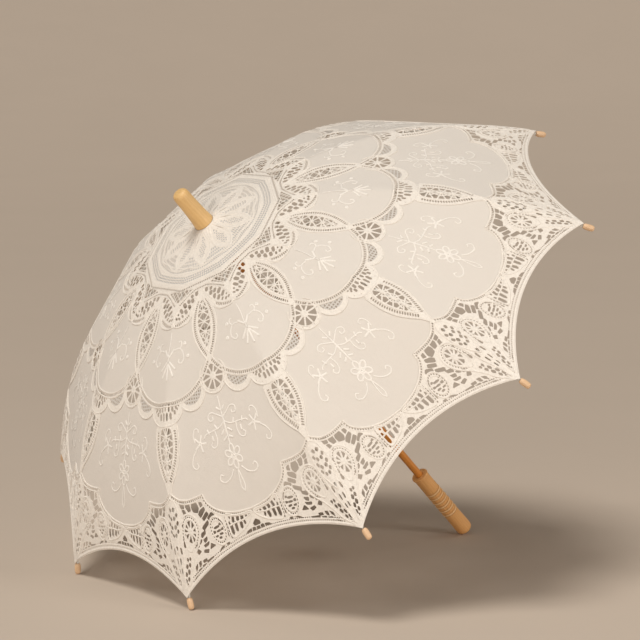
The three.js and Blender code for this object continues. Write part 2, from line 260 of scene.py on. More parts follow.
def wood_material(name, pale, mid, dark, rough, ring=90.0, grain=14, coat=0.0, turned=None):
    """Straight-grained turned wood, drawn along the stick. turned is rings' first groove, pitch, count,
    which place painted shade lines at the grooves and a painted highlight band on each ring.
    """
    m = Nodes(name)
    turn = m.add("VectorRotate", {"Vector": m.add("TexCoord").outputs["Object"]}, rotation_type="Y_AXIS")
    turn.inputs["Angle"].default_value = -math.atan2(AXIS[0], AXIS[2])
    base = turn.outputs[0]

    def stretched(s):
        mapping = m.add("Mapping", {"Vector": base})
        mapping.inputs["Scale"].default_value = s
        return mapping.outputs[0]

    long_ = stretched((grain, grain, 1.0))
    band = m.add("TexWave", {"Vector": stretched((1.0, 1.0, 0.10)), "Scale": ring, "Distortion": 5.0,
                             "Detail": 3.0, "Detail Scale": 1.2}, wave_type="RINGS", rings_direction="Y")
    fibre = m.noise(long_, 70.0, 6.0, 0.65)
    pore = m.noise(stretched((60.0, 60.0, 2.5)), 60.0, 3.0, 0.7)
    blotch = m.noise(base, 24.0, 3.0)
    col = m.mix(m.times(band.outputs["Fac"], 0.6), pale, mid)
    col = m.mix(m.times(m.math("POWER", fibre, 1.6), 0.8), col, dark)
    col = m.mix(m.times(m.math("POWER", pore, 4.0), 1.4), col, tint(dark, 0.72))
    col = m.mix(m.times(blotch, 0.25), col, pale)
    if turned:
        first, pitch, count = turned
        start = HANDLE_TOP + float(ORIGIN @ AXIS) - first
        down = m.math("SUBTRACT", start, m.add("SeparateXYZ", {"Vector": base}).outputs[2])
        turns = m.math("DIVIDE", down, pitch)
        on = m.times(m.math("GREATER_THAN", turns, -0.10), m.math("LESS_THAN", turns, count - 0.4))
        part = m.math("FRACT", m.plus(turns, 0.10))
        # Painted shade: dark lines at the grooves, two to each turn.
        line = m.ramp(part, [(0.0, (0, 0, 0)), (0.05, (1, 1, 1)), (0.15, (1, 1, 1)), (0.22, (0, 0, 0)),
                             (0.46, (0, 0, 0)), (0.50, (1, 1, 1)), (0.58, (1, 1, 1)), (0.64, (0, 0, 0))])
        # Painted highlight: a pale band on each raised ring.
        top = m.ramp(part, [(0.14, (0, 0, 0)), (0.25, (1, 1, 1)), (0.38, (1, 1, 1)), (0.50, (0, 0, 0))])
        col = m.mix(m.times(m.times(line, on), 0.45), col, tint(dark, 0.75))
        col = m.mix(m.times(m.times(top, on), 0.8), col, (0.95, 0.68, 0.37))
    rgh = m.plus(rough - 0.06, m.times(fibre, 0.16))
    h = m.plus(m.times(fibre, 0.5), m.times(pore, 0.6))
    return m.finish(col, rgh, m.bump(h, 0.3, 0.0003), Coat_Weight=coat, Coat_Roughness=0.25)


def paint_material(name, colour, rough, metallic=0.0, chip=None):
    """Paint, bright metal or moulded plastic, with faint mottling and, for paint, small chips."""
    m = Nodes(name)
    v = m.coords()
    a = m.noise(v, 240.0, 4.0, 0.6)
    b = m.noise(v, 18.0, 3.0)
    col = m.mix(m.times(a, 0.25), colour, tint(colour, 0.8))
    col = m.mix(m.times(b, 0.3), col, tint(colour, 0.95, 0.92, 0.86))
    if chip:
        spots = m.ramp(m.noise(v, 420.0, 2.0), [(0.70, (0, 0, 0)), (0.74, (1, 1, 1))])
        col = m.mix(spots, col, chip)
    rgh = m.plus(rough - 0.08, m.times(b, 0.18))
    return m.finish(col, rgh, m.bump(a, 0.2, 0.0002), Metallic=metallic)


CLOTH_MAT = weave_material("cotton_cloth", (0.775, 0.715, 0.645), (0.68, 0.62, 0.55), 0.00042, 0.00030)
# The net backing is a plain grey, darker than the cotton: painted shade for what shows through the
# medallion's openings.
GAUZE_MAT = weave_material("net_backing", (0.62, 0.605, 0.59), (0.44, 0.43, 0.42), 0.0011, 0.0005)
TAPE_MAT = thread_material("lace_tape", (0.90, 0.835, 0.755), (0.74, 0.675, 0.59))
THREAD_MAT = thread_material("lace_thread", (0.90, 0.835, 0.755), (0.74, 0.675, 0.59), scale=1.5)
STITCH_MAT = thread_material("embroidery_floss", (0.95, 0.895, 0.825), (0.84, 0.78, 0.70), 0.55, 1.3)
# The net's thread is a darker copy of the lace thread: painted shade for the half-moons it fills.
NET_MAT = thread_material("fine_net", (0.74, 0.69, 0.63), (0.58, 0.54, 0.49), 0.9, 2.0)

# Each wood: pale, middle and dark tone, then roughness.
SLOT_MATS = {
    "stick_wood": wood_material(
        "stained_stick", (0.90, 0.38, 0.07), (0.78, 0.27, 0.04), (0.46, 0.13, 0.018), 0.34, coat=0.35),
    # The handle's tones are set brighter than the wood's own: painted light for the shade the canopy casts
    # on it. Its rings carry painted shade and painted highlight.
    "handle_wood": wood_material(
        "turned_handle", (0.97, 0.55, 0.22), (0.90, 0.44, 0.135), (0.62, 0.28, 0.075), 0.46,
        turned=(0.031, 0.0082, 6)),
    "ferrule_wood": wood_material(
        "turned_ferrule", (0.86, 0.57, 0.25), (0.77, 0.48, 0.19), (0.60, 0.35, 0.12), 0.40, coat=0.15),
    "bead_wood": wood_material(
        "pale_bead", (0.84, 0.58, 0.36), (0.75, 0.49, 0.28), (0.58, 0.35, 0.18), 0.45, ring=220.0),
    "rib_paint": paint_material("painted_rib", (0.74, 0.72, 0.67), 0.45, chip=(0.35, 0.34, 0.33)),
    "spring_steel": paint_material("bright_steel", (0.55, 0.55, 0.54), 0.32, 1.0),
    "hub_plastic": paint_material("moulded_hub", (0.72, 0.68, 0.61), 0.42),
}
SUBPARTS = {s["node"]: s["material_slot"] for s in frame["record"]["subparts"]}
for node, obj in frame["nodes"].items():
    if SUBPARTS.get(node) in SLOT_MATS:
        mat = SLOT_MATS[SUBPARTS[node]]
        if not obj.material_slots:
            obj.data.materials.append(mat)
        for s in obj.material_slots:
            s.material = mat


# ---- lace drawing: plan coordinates, in units of the canopy radius ---------------------
def spline(points, n=8, closed=False):
    """Centripetal-like Catmull-Rom curve through points."""
    p = np.array(points, float)
    if closed:
        p = np.vstack([p[-1], p, p[0], p[1]])
    else:
        p = np.vstack([2 * p[0] - p[1], p, 2 * p[-1] - p[-2]])
    out = []
    t = np.linspace(0, 1, n, endpoint=False)[:, None]
    for a, b, c, d in zip(p[:-3], p[1:-2], p[2:-1], p[3:]):
        out.append(0.5 * (2 * b + (c - a) * t + (2 * a - 5 * b + 4 * c - d) * t**2
                          + (3 * b - a - 3 * c + d) * t**3))
    out = np.vstack(out)
    return out if closed else np.vstack([out, p[-2]])


def arc(cx, cy, r, a0, a1, n=24, ry=None):
    t = np.radians(np.linspace(a0, a1, n + 1))
    return np.stack([cx + r * np.cos(t), cy + (ry or r) * np.sin(t)], 1)


def turned_to(cx, cy, turn, x, y):
    """Points turned by so many degrees, then moved to a centre."""
    c, s = math.cos(math.radians(turn)), math.sin(math.radians(turn))
    return np.stack([cx + x * c - y * s, cy + x * s + y * c], 1)


def ellipse(cx, cy, rx, ry, turn=0.0, n=28):
    t = np.linspace(0, TAU, n, endpoint=False)
    return turned_to(cx, cy, turn, rx * np.cos(t), ry * np.sin(t))


def mid(points):
    """From the frame whose x axis is the mid-gore line to the frame of the rib below it."""
    p = np.atleast_2d(np.array(points, float))
    return np.stack([p[:, 0] * C18 - p[:, 1] * S18, p[:, 0] * S18 + p[:, 1] * C18], 1)


def along(path, step, closed=False):
    """Points every step along a path, with the unit normals there."""
    p = np.asarray(path, float)
    if closed:
        p = np.vstack([p, p[:1]])
    d = np.linalg.norm(np.diff(p, axis=0), axis=1)
    s = np.concatenate([[0], np.cumsum(d)])
    n = max(2, int(round(s[-1] / step)))
    t = np.linspace(0, s[-1], n + 1)
    if closed:
        t = t[:-1]
    q = np.stack([np.interp(t, s, p[:, k]) for k in (0, 1)], 1)
    e = 1e-4
    f = np.stack([np.interp(np.clip(t + e, 0, s[-1]), s, p[:, k]) for k in (0, 1)], 1)
    b = np.stack([np.interp(np.clip(t - e, 0, s[-1]), s, p[:, k]) for k in (0, 1)], 1)
    v = f - b
    v /= np.maximum(np.linalg.norm(v, axis=1), 1e-12)[:, None]
    return q, np.stack([-v[:, 1], v[:, 0]], 1)


def normals(p, closed=False):
    """Unit normals in plan at the points of a path."""
    if closed:
        v = np.roll(p, -1, 0) - np.roll(p, 1, 0)
    else:
        v = np.vstack([p[1] - p[0], p[2:] - p[:-2], p[-1] - p[-2]])
    v /= np.maximum(np.linalg.norm(v, axis=1), 1e-12)[:, None]
    return np.stack([-v[:, 1], v[:, 0]], 1)


def offset(path, d):
    """A path moved sideways by d."""
    p = np.asarray(path, float)
    return p + d * normals(p)


def spaced(path, least):
    """A path without the points that are nearer than least to the one before."""
    p = np.asarray(path, float)
    return p[np.append(True, np.linalg.norm(np.diff(p, axis=0), axis=1) > least)]


def mirrored(half):
    """A whole outline from the half that starts and ends on the x axis."""
    return np.vstack([half, (half * [1, -1])[-2:0:-1]])


def inside(poly, pts):
    """Which points lie inside a polygon."""
    poly = np.asarray(poly, float)
    pts = np.atleast_2d(pts)
    x, y = pts[:, 0], pts[:, 1]
    hit = np.zeros(len(pts), bool)
    for (x0, y0), (x1, y1) in zip(poly, np.roll(poly, -1, 0)):
        cross = (y0 > y) != (y1 > y)
        if cross.any():
            xi = x0 + (y - y0) * (x1 - x0) / (y1 - y0 + 1e-30)
            hit ^= cross & (x < xi)
    return hit


def clip_segment(poly, p, q, steps=160):
    """The longest stretch of segment pq that lies inside a polygon, or None."""
    t = np.linspace(0, 1, steps)
    pts = np.array(p)[None] * (1 - t)[:, None] + np.array(q)[None] * t[:, None]
    ok = inside(poly, pts)
    best = None
    start = None
    for i, o in enumerate(np.append(ok, False)):
        if o and start is None:
            start = i
        if not o and start is not None:
            if best is None or i - start > best[1] - best[0]:
                best = (start, i)
            start = None
    if best is None or best[1] - best[0] < 3:
        return None
    return pts[best[0]], pts[best[1] - 1]


class Drawing:
    """Strokes of one sector, in its rib's frame."""

    def __init__(self):
        self.strokes = []      # (kind, points, width, height, lift, closed, mirror)
        self.cloth = []        # (polygon, how it spans the rib, kind)
        self.solids = []       # (outline, openings on both sides of the rib, openings on the rib)

    def tape(self, path, w, h=0.0016, lift=0.0, closed=False, mirror=True, kind='tape'):
        self.strokes.append((kind, np.asarray(path, float), w, h, lift, closed, mirror))

    def thread(self, path, w=0.0022, h=0.0014, lift=0.0004, mirror=True, closed=False):
        self.tape(path, w, h, lift, closed, mirror, 'thread')

    def rosette(self, poly, centre, spokes, r, w=0.0019, hub=0.0036, turn=0.0, mirror=True, base=0.0):
        for i in range(spokes):
            t = TAU * (i + turn) / spokes + base
            far = (centre[0] + 0.2 * math.cos(t), centre[1] + 0.2 * math.sin(t))
            s = clip_segment(poly, centre, far, 400)
            if s is None:
                continue
            end = np.array(s[1])
            v = end - np.array(centre)
            m = np.linalg.norm(v)
            if m > r:
                end = np.array(centre) + v / m * r
            self.thread([centre, end], w, mirror=mirror)
        self.tape(arc(centre[0], centre[1], hub * 0.55, 0, 330, 8), hub * 1.0, 0.0022, 0.0004, True, mirror,
                  'knot')

    def net(self, poly, pitch, w=0.0011, turn=0.0, mirror=True, angles=None):
        """Threads across a polygon: at the given angles, or square to each other."""
        poly = np.asarray(poly, float)
        for ang in angles or (turn, turn + 90):
            c, s = math.cos(math.radians(ang)), math.sin(math.radians(ang))
            u, v = np.array([c, s]), np.array([-s, c])
            pu, pv = poly @ u, poly @ v
            for i in np.arange(math.floor(pv.min() / pitch), math.ceil(pv.max() / pitch) + 1):
                seg = clip_segment(poly, u * (pu.min() - 0.01) + v * i * pitch,
                                   u * (pu.max() + 0.01) + v * i * pitch)
                if seg is not None:
                    self.thread(seg, w, 0.0009, 0.0, mirror)

    def stitch(self, path, w=0.0046, h=0.0012, mirror=True, closed=False):
        self.tape(path, w, h, 0.0002, closed, mirror, 'stitch')


def lens_curve(u0, u1, w, n=22, power=.78):
    s = np.linspace(0, 1, n + 1)
    return np.stack([u0 + (u1 - u0) * s, w * np.sin(math.pi * s) ** power], 1)


def polar(cx, phi, r):
    """Points at angles, in degrees, and radii about a centre on the rib."""
    t = np.radians(phi)
    return np.stack([cx + r * np.cos(t), r * np.sin(t)], 1)


PETAL_C, PETAL_R = .43, .142


def scallop_radius(phi):
    """Centre line of the scalloped band's outer tape, as a radius about a petal's centre."""
    phi = np.abs(np.asarray(phi, float))
    base = PETAL_R + .0195
    a = .04 * np.clip(np.cos(np.pi * phi / 42), 0, 1) ** .55
    b = .03 * np.clip(np.sin(np.pi * (phi - 21) / 33), 0, 1) ** .62
    return base + np.where(phi < 21, a, np.where(phi < 54, b, 0))


def slot(cx, cy, length, width, turn=0.0):
    """A small opening with rounded ends."""
    a, b = length / 2, width / 2
    q = np.array([(-a, -b * .45), (-a, b * .45), (-a * .6, b), (a * .6, b), (a, b * .45), (a, -b * .45),
                  (a * .6, -b), (-a * .6, -b)])
    return turned_to(cx, cy, turn, q[:, 0], q[:, 1])


def softened(points, grow=1.15, cut=.14):
    """A polygon made a little larger, with its corners cut."""
    p = np.array(points, float)
    p = p.mean(0) + (p - p.mean(0)) * grow
    n = np.roll(p, -1, 0)
    return np.stack([p * (1 - cut) + n * cut, p * cut + n * (1 - cut)], 1).reshape(-1, 2)


def dots(path, step=.0064, length=.0036, width=.0034, closed=False, skip=0, grow=1.25):
    """Small openings in a row along a path."""
    q, n = along(path, step, closed)
    return [slot(a[0], a[1], length * grow, width * grow, math.degrees(math.atan2(-b[0], b[1]))) for a,
            b in zip(q[skip:len(q) - skip], n[skip:])]


# Edges that lace and cloth share: a panel's side along the lens, in the rib's frame, and its lower edge,
# near the lens and round its arch, in the frame of the panel's middle line.
LENS_SIDE = spline([(.618, .036), (.636, .04), (.66, .043), (.685, .0435), (.715, .038), (.745, .0245),
                    (.768, .0105), (.79, .003)], 8)
PANEL_RIM = spline([(.7515, -.24), (.769, -.22), (.7765, -.195), (.778, -.165), (.7775, -.142)], 8)
PANEL_ARCH = spline([(.779, -.137), (.796, -.133), (.812, -.117), (.826, -.09), (.836, -.05), (.84, 0.0),
                     (.839, .013)], 9)


def draw_leaf_ring(d):
    """Ring of leaves round the medallion, and the inner lenses between the petals."""
    lens = lens_curve(.268, .4925, .044, 26) * [1, -1]
    inner = [(.366, 0.0), (.367, .013), (.365, .034), (.356, .055), (.342, .064)]
    far = mid(lens[lens[:, 0] > .336])
    outline = np.vstack([mid([(.228, -.0741), (.228, .014), (.49, .014), (.4925, 0.0)]), far[::-1][1:],
                         inner[::-1]])
    holes, whole = [], []
    for u, v, a, b, t in ((.2715, .018, .0135, .0095, 0), (.2745, .0345, .0105, .0085, -15),
                          (.29, .0335, .013, .01, -10), (.2875, .0475, .013, .009, -20),
                          (.307, .0455, .015, .009, -15), (.295, .0625, .0165, .01, -25),
                          (.3165, .0605, .014, .009, -20), (.309, .076, .0165, .0085, -25),
                          (.3265, .0735, .009, .0055, -25), (.33, .086, .0085, .006, -30),
                          (.316, .0885, .0055, .0045, -30), (.327, .096, .0085, .005, -30)):
        holes.append(mid(slot(u, -v, a * 1.22, b * 1.22, -t)))
    rim = spline([(.348, -.101), (.3475, -.088), (.344, -.074), (.339, -.061), (.333, -.052)], 6)
    holes += dots(mid(rim), .0066, .0034, .007)
    holes += dots(mid([(.237, -.076), (.237, .01)]), .0066, .0034, .0052)
    holes += dots(spline([(.244, .076), (.25, .059), (.264, .043), (.279, .0285), (.296, .012)], 6), .0062,
                  .0036, .0044)
    corner = np.array([(.248, 0.0), (.248, .047), (.257, .0375), (.268, .0265), (.28, .0145), (.289, .004),
                       (.289, 0.0)])
    corner = mirrored(corner)
    whole.append(corner)
    for turn in (40, -40):
        d.net(corner, .0125, .0024, turn, False, (turn,))
    field = lens_curve(.3, .45, .0215, 20, .7)
    holes.append(mid(mirrored(field)))
    holes += dots(mid(lens_curve(.29, .478, .0345, 26)[2:-1] * [1, -1]), .0066, .0034, .0062)
    d.solids.append((outline, holes, whole))
    fpoly = mid(np.vstack([field, (field * [1, -1])[::-1]]) * [1, 1.12])
    d.thread(mid([(.298, 0.0), (.452, 0.0)]), .0026)
    for cx, k in ((.317, 4), (.34, 8), (.372, 8), (.404, 8), (.432, 6)):
        d.rosette(fpoly, tuple(mid([(cx, 0.0)])[0]), k, .032, .0038, .0062, .5 * (k < 8), base=HALF)
    d.tape(mid(lens[1:-1] * [1, .97]), .0046, .0026)
    d.tape(mid(lens_curve(.292, .462, .0262, 22) * [1, -1]), .005, .0026)
    leaf = mid(spline([(.262, -.006), (.267, -.038), (.281, -.064), (.302, -.088), (.326, -.106),
                       (.35, -.106), (.356, -.08), (.35, -.056), (.334, -.044), (.306, -.033),
                       (.28, -.013)], 6, closed=True))
    d.tape(leaf, .0044, .0028, .0002, True)
    d.tape(mid(spline([(.338, -.104), (.341, -.088), (.337, -.07), (.328, -.052), (.31, -.039)], 6)), .0032,
           .0024, .0002)
    d.tape(mid([(.229, -.0735), (.229, 0.0)]), .004, .0026)
    d.tape(mid([(.2425, -.078), (.2425, 0.0)]), .0034, .0024)
    d.tape(spline([(.24, .074), (.246, .055), (.26, .039), (.275, .025), (.29, .007)], 6), .003, .0022)


def draw_scallops(d):
    """Scalloped band outside the petals, with bars at the rib, net in the half-moons and a wheel."""
    ph = np.concatenate([np.linspace(0, 20.8, 16), np.linspace(21.2, 53.5, 20)])
    edge = polar(PETAL_C, ph, scallop_radius(ph) + .0048)
    wheel_edge = mid(arc(.53, 0.0, .0475, -92, 20, 18))
    edge = edge[~inside(np.vstack([wheel_edge, mid([(.5, .03), (.48, 0), (.5, -.03)])]), edge)]
    inner_arc = polar(PETAL_C, np.linspace(0, 84, 44), np.full(44, PETAL_R - .0005))
    outline = np.vstack([edge, wheel_edge, inner_arc[::-1]])
    holes, whole = [], []
    holes += dots(polar(PETAL_C, np.linspace(1.2, 80, 60), np.full(60, PETAL_R + .0066)), .0066, .0036,
                  .0062)
    pm = np.linspace(24.5, 50.5, 14)
    bulge = np.clip(np.sin(np.pi * (pm - 24.5) / 26), 0, 1) ** .6
    moon = np.vstack([polar(PETAL_C, pm, PETAL_R + .016 + .0215 * bulge),
                      polar(PETAL_C, pm[::-1], np.full(14, PETAL_R + .0155))])
    holes.append(moon[:-1])
    d.cloth.append((moon, True, 'net'))
    whole.append(slot(.588, 0, .018, .005))
    for x, y, a, b in ((.588, .0125, .018, .0052), (.587, .0248, .018, .0062), (.583, .0365, .0125, .0058),
                       (.579, .0458, .0085, .0044), (.6105, .0062, .018, .0052),
                       (.6085, .0192, .0155, .0062), (.5985, .0335, .01, .0056), (.5895, .042, .006, .004)):
        holes.append(slot(x, y, a * 1.16, b * 1.36, math.degrees(math.atan2(y, x - .43)) * .6))
    tear = np.vstack([arc(.531, 0.0, .0345, -125, 125, 26), [(.498, 0.0)]])
    holes.append(mid(tear))
    for t in (-75, -50, -25, 0):
        p = (.53 + .041 * math.cos(math.radians(t)), .041 * math.sin(math.radians(t)))
        holes.append(mid(slot(p[0], p[1], .0026, .0022)))
    for t in np.arange(-16, 17, 5.3):
        whole += [slot(*polar(PETAL_C, [t], np.array([scallop_radius(t) - .0052]))[0], .0026, .0022)]
    d.solids.append((outline, holes, whole))
    wc = tuple(mid([(.531, 0.0)])[0])
    d.rosette(mid(tear * [1, 1.04]), wc, 9, .05, .005, .011, 0.0, base=HALF)
    d.tape(mid(arc(.531, 0.0, .0066, 0, 360, 12)[:-1]), .009, .0028, .0002, True, True, 'knot')
    d.tape(mid(arc(.53, 0.0, .0455, -140, 140, 34)), .004, .0026)
    d.tape(mid(arc(.53, 0.0, .0372, -130, 130, 34)), .0036, .0026)
    d.tape(polar(PETAL_C, ph, scallop_radius(ph) + .0026), .0046, .0028)
    d.tape(polar(PETAL_C, np.linspace(0, 77, 44), PETAL_R + .001), .0048, .0026)
    d.tape(polar(PETAL_C, np.linspace(0, 79, 44), PETAL_R + .0125), .0044, .0026)


def draw_rib_lens(d):
    """Outer lens that lies on the rib, between two panels."""
    field = spline([(.639, 0.0), (.639, .014), (.648, .0205), (.665, .024), (.69, .024), (.715, .019),
                    (.738, .0115), (.758, 0.0)], 6)
    whole = [mirrored(field)]
    holes = dots(spline([(.644, .0325), (.664, .0355), (.686, .0355), (.712, .0305), (.738, .02),
                         (.762, .0085)], 8), .0066, .0034, .0064)
    d.solids.append((np.vstack([[(.624, 0.0)], LENS_SIDE, [(.79, 0.0)]]), holes, whole))
    fpoly = np.vstack([field * [1, 1.08], (field * [1, -1.08])[::-1]])
    d.thread([(.637, 0.0), (.758, 0.0)], .003, mirror=False)
    for cx, k in ((.66, 8), (.691, 8), (.72, 8), (.743, 6)):
        d.rosette(fpoly, (cx, 0.0), k, .034, .0038, .0064, .5 * (k == 8), mirror=False)
    d.tape(offset(LENS_SIDE, .0022)[6:], .0044, .0028)
    d.tape(field[6:] * [1, 1.17], .005, .0026)


def draw_border(d):
    """Lace between the outer panels and the hem: fans at the rib, leaves and wheels between them."""
    v = np.linspace(.013, -.308, 44)
    hem = np.stack([HEM_MID + HEM_BEND * v**2, v], 1)
    outline = np.vstack([mid(np.vstack([PANEL_RIM, PANEL_ARCH])), mid(hem), [(1.0, 0.0)]])
    holes, whole = [], []
    holes += dots(mid(offset(PANEL_RIM, -.0062)), .0066, .0034, .0046, skip=1)
    holes += dots(mid(offset(PANEL_ARCH, -.0058)), .0066, .0034, .0046)
    for inset in (.0076, .0134):
        holes += dots(mid(offset(hem, -inset)[:-6]), .0064, .003, .0019)
    for pts in (
            [(.806, .028), (.806, .042), (.819, .043), (.82, .031)],
            [(.823, .034), (.822, .043), (.832, .05), (.837, .041)],
            [(.808, .049), (.808, .061), (.822, .064), (.825, .054), (.816, .047)],
            [(.806, .069), (.804, .084), (.814, .09), (.824, .086), (.824, .071), (.816, .067)],
            [(.802, .092), (.801, .101), (.807, .105), (.813, .096)],
            [(.811, .106), (.817, .11), (.834, .094), (.828, .087), (.82, .092)],
            [(.82, .113), (.825, .12), (.84, .103), (.835, .097)],
            [(.82, .128), (.824, .138), (.838, .122), (.833, .114)],
            [(.838, .113), (.844, .117), (.86, .099), (.854, .093)],
            [(.859, .101), (.866, .101), (.876, .088), (.869, .083)],
            [(.871, .104), (.879, .103), (.885, .094), (.879, .09)],
            [(.878, .086), (.884, .085), (.89, .078), (.884, .074)],
            [(.88, .108), (.887, .106), (.894, .093), (.89, .089)],
            [(.886, .128), (.883, .113), (.896, .108)],
            [(.896, .104), (.904, .1), (.905, .086), (.899, .088)],
            [(.888, .073), (.894, .075), (.899, .067), (.893, .063)],
            [(.899, .066), (.903, .078), (.911, .068), (.905, .06)],
            [(.908, .115), (.914, .112), (.926, .093), (.92, .09)],
            [(.915, .09), (.92, .091), (.926, .079), (.921, .077)],
            [(.926, .084), (.931, .084), (.937, .075), (.931, .073)],
            [(.922, .071), (.93, .071), (.936, .064), (.927, .062)],
            [(.935, .07), (.939, .069), (.948, .059), (.941, .058)],
            [(.929, .058), (.937, .057), (.946, .05), (.937, .049)],
            [(.945, .056), (.95, .055), (.961, .043), (.955, .042)]):
        holes.append(softened(pts))
    for x, y, a, b, t in ((.922, .037, .0065, .0046, -30), (.9245, .0288, .0066, .005, -20),
                          (.9345, .0325, .0078, .0052, -30), (.9385, .0228, .009, .0056, -30),
                          (.9485, .0258, .0095, .0056, -28), (.9545, .016, .009, .005, -28),
                          (.963, .0208, .008, .0048, -30), (.9675, .0118, .0078, .0046, -20),
                          (.9745, .0145, .006, .0042, -25), (.8945, .028, .0115, .0058, -10),
                          (.9085, .013, .0115, .0046, 4), (.93, .0055, .011, .0038, -4),
                          (.949, .0045, .009, .0034, -4), (.865, .0355, .0052, .004, 0),
                          (.8735, .0335, .0052, .004, -10), (.882, .0295, .0052, .0045, -20),
                          (.848, .0285, .0046, .0034, 0), (.856, .03, .0046, .0034, 0),
                          (.824, .006, .0085, .0065, -35), (.835, .014, .008, .0055, -30),
                          (.843, .006, .008, .006, -35), (.852, .0145, .0085, .0055, -30),
                          (.861, .0068, .0085, .006, -35), (.869, .013, .008, .005, -30),
                          (.878, .005, .0075, .0055, -35)):
        holes.append(slot(x, y, a * 1.22, b * 1.25, t))
    whole.append(slot(.905, 0, .011, .007))
    # spider in the oval loop
    eye = ellipse(.8665, .0535, .0235, .0165, -12, 22)
    holes.append(eye)
    d.rosette(.8665 * np.array([1, 0]) + np.array([0, .0535]) + (eye - [.8665, .0535]) * 1.1,
              (.8665, .0535), 9, .06, .005, .009, .2)
    back = [(.896, .02), (.864, .0235), (.84, .033), (.83, .054), (.838, .076), (.858, .085), (.882, .078)]
    d.tape(spline([(.984, .007), (.956, .0092), (.924, .0165)] + back + [(.908, .059), (.933, .044),
                                                                         (.96, .032), (.984, .013)], 7),
           .0044, .0026, .0002)
    hub = np.array([.868, .053])
    round_ = spline([(.918, .029)] + back + [(.906, .06), (.921, .044)], 7, closed=True)
    ring = hub + (round_ - hub) * [.84, .8]
    holes += dots(ring[ring[:, 0] < .898], .0066, .0032, .0022)
    d.tape(hub + (round_ - hub) * [.72, .66], .0038, .0024, .0002, True)
    centre = spline([(.8, 0.0), (.812, .015), (.84, .0215), (.87, .0195), (.896, .01), (.914, 0.0)], 6)
    centre = mirrored(centre)
    d.tape(centre, .0042, .0028, .0002, True, False)
    # ladder-filled leaf beside the mid-gore, and the openings behind it
    for u, w, a, b, t in (
            (.852, .014, .0048, .0048, 0), (.853, .025, .0058, .006, 20), (.862, .036, .0072, .006, 20),
            (.852, .04, .01, .0086, -25), (.8645, .049, .012, .0086, -15), (.85, .0545, .011, .008, -25),
            (.864, .0665, .016, .0082, -8), (.849, .07, .012, .0072, -25), (.8535, .085, .0064, .0048, 0),
            (.866, .0825, .0175, .0088, -4), (.8425, .08, .005, .0046, 0),
            (.84, .113, .0032, .01, 0), (.847, .114, .004, .013, 6), (.8575, .113, .004, .01, 6),
            (.851, .13, .004, .0165, 4), (.859, .127, .0036, .013, 4), (.866, .1215, .0036, .011, 0),
            (.859, .1425, .0046, .01, 4), (.868, .139, .0034, .011, 4), (.8725, .128, .0036, .009, 0),
            (.888, .111, .0036, .01, 6), (.848, .145, .0032, .006, 0)):
        holes.append(mid(slot(u, -w, a * 1.26, b * 1.2, t)))
    holes.append(mid(softened([(.885, -.122), (.89, -.125), (.897, -.148), (.891, -.14)])))
    holes.append(mid(softened([(.864, 0), (.87, -.011), (.8755, -.01), (.8755, .01), (.87, .011)])))
    for pts in ([(.8785, .0015), (.8785, -.006), (.884, -.006), (.884, .0015)],
                [(.878, -.009), (.8775, -.019), (.8835, -.021), (.884, -.009)],
                [(.878, -.024), (.8835, -.024), (.8845, -.044), (.88, -.038)],
                [(.854, -.1), (.856, -.104), (.876, -.102), (.874, -.0985)]):
        holes.append(mid(softened(pts)))
    holes += dots(mid(spline([(.84, -.093), (.856, -.095), (.88, -.093)], 8)), .0064, .004, .0034)
    lf = spline([(.847, -.004), (.845, -.035), (.842, -.062), (.834, -.089), (.856, -.091), (.881, -.088),
                 (.878, -.062), (.872, -.038), (.86, -.015)], 6, closed=True)
    d.tape(mid(lf), .004, .0028, .0002, True)
    d.tape(mid(spline([(.852, -.008), (.857, -.04), (.8565, -.064), (.858, -.088)], 6)), .0034, .0024)
    d.tape(mid(ellipse(.858, -.128, .029, .0255, 15)), .0044, .0028, .0002, True)
    d.tape(mid(ellipse(.858, -.128, .0205, .0195, 15)), .003, .0024, .0002, True)
    holes += dots(mid(ellipse(.858, -.128, .0246, .0222, 15)), .0066, .0034, .0026, closed=True)
    # cords of the panel and the hem
    d.tape(mid(offset(PANEL_RIM, -.002)), .0044, .003)
    d.tape(mid(offset(PANEL_ARCH[:-3], -.002)), .0044, .003)
    d.tape(mid(offset(PANEL_RIM, -.01)[2:-2]), .0034, .0024)
    d.tape(mid(offset(PANEL_ARCH, -.0095)[2:]), .0034, .0024)
    for inset, w, h in ((.0032, .0056, .0026), (.0105, .0026, .002)):
        d.tape(mid(offset(hem, -inset)[:-2]), w, h)
    d.solids.append((outline, holes, whole))


